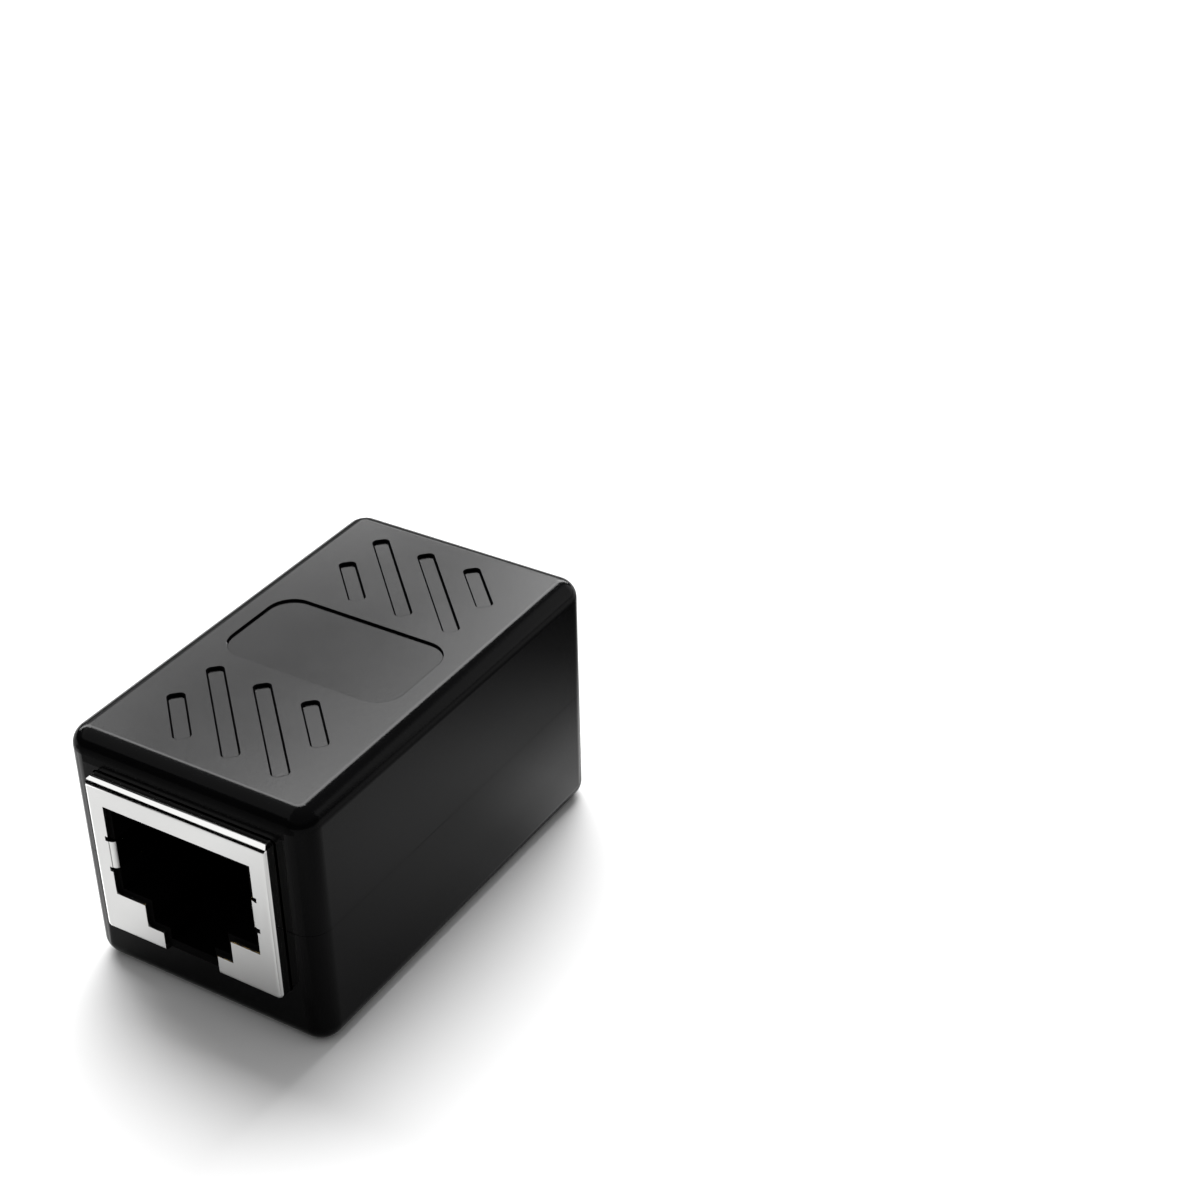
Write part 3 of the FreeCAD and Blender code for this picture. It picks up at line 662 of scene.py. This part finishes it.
def makeRoom():
    world = bpy.data.worlds.new("studioRoom")
    world.use_nodes = True
    nodes, links = world.node_tree.nodes, world.node_tree.links
    place = nodes.new("ShaderNodeTexCoord")
    height = alongAxes(nodes, links, place.outputs["Generated"])["Z"]
    glow = spread(nodes, links, height, roomFacts["horizon"], roomFacts["dome"], roomFacts["fadeFrom"],
                  roomFacts["fadeTo"])
    links.new(glow, nodes["Background"].inputs["Strength"])
    nodes["Background"].inputs["Color"].default_value = (1.0, 1.0, 1.0, 1.0)
    bpy.context.scene.world = world


# Panels that only show in reflections

def glowMaterial(name):
    material = bpy.data.materials.new(name)
    material.use_nodes = True
    material.cycles.emission_sampling = "NONE"
    nodes, links = material.node_tree.nodes, material.node_tree.links
    nodes.clear()
    glow = nodes.new("ShaderNodeEmission")
    output = nodes.new("ShaderNodeOutputMaterial")
    links.new(glow.outputs["Emission"], output.inputs["Surface"])
    return material, nodes, links, glow


def onlyReflected(panel, material):
    panel.data.materials.append(material)
    panel.visible_diffuse = False
    panel.visible_camera = False
    panel.visible_shadow = False


def evenPanel(name, finishName, corners, strength):
    material, nodes, links, glow = glowMaterial(finishName)
    glow.inputs["Strength"].default_value = strength
    onlyReflected(flatSheet(name, corners), material)


def rampAlong(nodes, links, value, stops):
    # A smooth run of levels, each stop a place in millimetres and the level there
    first, last = stops[0][0], stops[-1][0]
    peak = max(level for place, level in stops)
    ramp = nodes.new("ShaderNodeValToRGB")
    ramp.color_ramp.interpolation = "CARDINAL"
    elements = ramp.color_ramp.elements
    while len(elements) < len(stops):
        elements.new(1.0)
    for element, (place, level) in zip(elements, stops):
        element.position = (place - first) / (last - first)
        element.color = (level / peak, level / peak, level / peak, 1.0)
    links.new(spread(nodes, links, value, 0.0, 1.0, first * mm, last * mm), ramp.inputs["Fac"])
    return mathNode(nodes, links, "MULTIPLY", ramp.outputs["Color"], float(peak))


sheenPanel = {
    "stretch": 4.0, "left": -260.0, "right": 42.0, "front": -46.0, "back": 420.0, "restGlow": 1.0,
    "glowAcross": ((-60.0, 1.5), (-30.0, 5.0), (-12.0, 14.5), (-3.0, 4.5), (1.0, 7.0), (6.0, 15.5),
                   (11.0, 25.0)),
    "shareAlong": ((-18.0, 1.45), (-12.0, 1.05), (12.0, 1.0), (17.0, 1.35), (32.0, 1.5), (55.0, 0.9),
                   (85.0, 0.3), (120.0, 0.12)),
    "rimGlow": 31.0, "rimRight": 17.0, "rimFront": -25.0,
}


def makeSheenPanel(eye):
    # Drawn in the top face's plane, then cast from the eye's mirror image, so that the face shows it as drawn
    facts = sheenPanel
    topFace = cadHigh.z
    left, right, front, back = (facts[edge] * mm for edge in ("left", "right", "front", "back"))
    panel = flatSheet("sheenPanel", [(left, front, topFace), (right, front, topFace), (right, back, topFace),
                                     (left, back, topFace)])
    mirroredEye = Vector((eye.x, eye.y, 2 * topFace - eye.z))
    stretch = Matrix.Scale(facts["stretch"], 4)
    panel.matrix_world = Matrix.Translation(mirroredEye * (1 - facts["stretch"])) @ stretch
    material, nodes, links, glow = glowMaterial("sheenGlow")
    here = alongAxes(nodes, links, nodes.new("ShaderNodeTexCoord").outputs["Object"])

    def maths(operation, *values):
        return mathNode(nodes, links, operation, *values)

    across = rampAlong(nodes, links, here["X"], facts["glowAcross"])
    along = rampAlong(nodes, links, here["Y"], facts["shareAlong"])
    beyondRight = maths("GREATER_THAN", here["X"], facts["rimRight"] * mm)
    beyondFront = maths("LESS_THAN", here["Y"], facts["rimFront"] * mm)
    rim = maths("MULTIPLY", maths("MAXIMUM", beyondRight, beyondFront), facts["rimGlow"])
    lit = maths("MAXIMUM", maths("MULTIPLY", across, along), rim)
    links.new(maths("MAXIMUM", lit, facts["restGlow"]), glow.inputs["Strength"])
    onlyReflected(panel, material)


# Gives the bright line on the shield's rolled edge
bendPanel = {"place": (-0.72, -0.66, 0.80), "size": (0.84, 2.60), "glow": 1.9}


def makeBendPanel():
    middle = Vector(bendPanel["place"])
    across, along = (length / 2 for length in bendPanel["size"])
    ends = ((-across, -along, 0), (across, -along, 0), (across, along, 0), (-across, along, 0))
    evenPanel("bendPanel", "bendGlow", [middle + Vector(end) for end in ends], bendPanel["glow"])


# A dark card in front leaves the black line along the shield's rolled edge
blackCard = {"towards": (-0.444, -0.895), "away": 1.15, "width": 1.8, "height": 0.78}


def makeBlackCard():
    towards = Vector((*blackCard["towards"], 0)).normalized()
    middle = towards * blackCard["away"]
    across = Vector((-towards.y, towards.x, 0)) * blackCard["width"] / 2
    rise = Vector((0, 0, blackCard["height"]))
    corners = [middle - across, middle + across, middle + across + rise, middle - across + rise]
    evenPanel("blackCard", "cardBlack", corners, 0.0)


# Stands behind on the right, and lifts the rounded edge between the top and the right wall out of black
backPanel = {"left": 0.10, "right": 1.00, "low": 0.04, "high": 0.82, "away": 0.80, "glow": 2.8}


def makeBackPanel():
    left, right, low, high, away = (backPanel[edge] for edge in ("left", "right", "low", "high", "away"))
    corners = [(left, away, low), (right, away, low), (right, away, high), (left, away, high)]
    evenPanel("backPanel", "backGlow", corners, backPanel["glow"])


# Lies beside the front left edge, which mirrors it as a grey strip
cornerSheet = {
    "corners": ((-10.3, -17.6), (-50.0, -51.0), (-50.0, -23.0), (-10.3, -17.4)), "height": 0.05, "glow": 4.5,
}


def makeCornerSheet():
    height = cornerSheet["height"] * mm
    corners = [(x * mm, y * mm, height) for x, y in cornerSheet["corners"]]
    evenPanel("cornerSheet", "cornerGlow", corners, cornerSheet["glow"])


# Two soft pools of light beside the casing, which only its right wall mirrors
sideSheet = {
    "left": 11.0, "right": 70.0, "front": -50.0, "back": 95.0, "height": 0.05,
    "nearPool": {
        "across": ((11.0, 4.3), (13.0, 3.3), (14.7, 2.8), (18.0, 1.5), (19.6, 1.4), (22.9, 1.0), (24.5, 0.85),
                   (31.0, 0.4), (70.0, 0.2)),
        "along": ((-50.0, 0.0), (-8.0, 0.0), (4.0, 0.1), (10.0, 0.3), (16.0, 0.9), (20.0, 1.0), (26.0, 0.85),
                  (32.0, 0.4), (40.0, 0.1), (95.0, 0.0)),
    },
    "farPool": {
        "across": ((11.0, 0.6), (14.7, 0.85), (18.0, 1.1), (22.7, 1.4), (26.7, 1.35), (40.0, 0.8),
                   (70.0, 0.3)),
        "along": ((-50.0, 0.6), (-20.0, 0.75), (-8.0, 0.85), (-2.0, 1.0), (4.0, 1.1), (10.0, 1.0),
                  (16.0, 0.5), (22.0, 0.15), (30.0, 0.02), (95.0, 0.0)),
    },
    "fade": {
        "across": ((11.0, 1.0), (30.0, 1.0), (65.0, 0.0), (70.0, 0.0)),
        "along": ((-50.0, 0.0), (-45.0, 0.0), (-20.0, 1.0), (45.0, 1.0), (90.0, 0.0), (95.0, 0.0)),
    },
}


def makeSideSheet():
    left, right, front, back, height = (sideSheet[edge] * mm for edge in
                                        ("left", "right", "front", "back", "height"))
    sheet = flatSheet("sideSheet", [(left, front, height), (right, front, height), (right, back, height),
                                    (left, back, height)])
    material, nodes, links, glow = glowMaterial("sideGlow")
    here = alongAxes(nodes, links, nodes.new("ShaderNodeTexCoord").outputs["Object"])

    def spot(part):
        across = rampAlong(nodes, links, here["X"], sideSheet[part]["across"])
        along = rampAlong(nodes, links, here["Y"], sideSheet[part]["along"])
        return mathNode(nodes, links, "MULTIPLY", across, along)

    both = mathNode(nodes, links, "ADD", spot("nearPool"), spot("farPool"))
    links.new(both, glow.inputs["Strength"])
    clear = nodes.new("ShaderNodeBsdfTransparent")
    mix = nodes.new("ShaderNodeMixShader")
    links.new(spot("fade"), mix.inputs["Fac"])
    links.new(clear.outputs["BSDF"], mix.inputs[1])
    links.new(glow.outputs["Emission"], mix.inputs[2])
    links.new(mix.outputs["Shader"], nodes["Material Output"].inputs["Surface"])
    onlyReflected(sheet, material)


eyePlace, eyeTurn = cameraStance()
makeCamera(eyePlace, eyeTurn)
makeFloor()
softBox()
makeRoom()
makeSheenPanel(eyePlace)
makeBendPanel()
makeBlackCard()
makeBackPanel()
makeCornerSheet()
makeSideSheet()
bpy.context.scene.view_settings.view_transform = "Standard"
print("studio done")
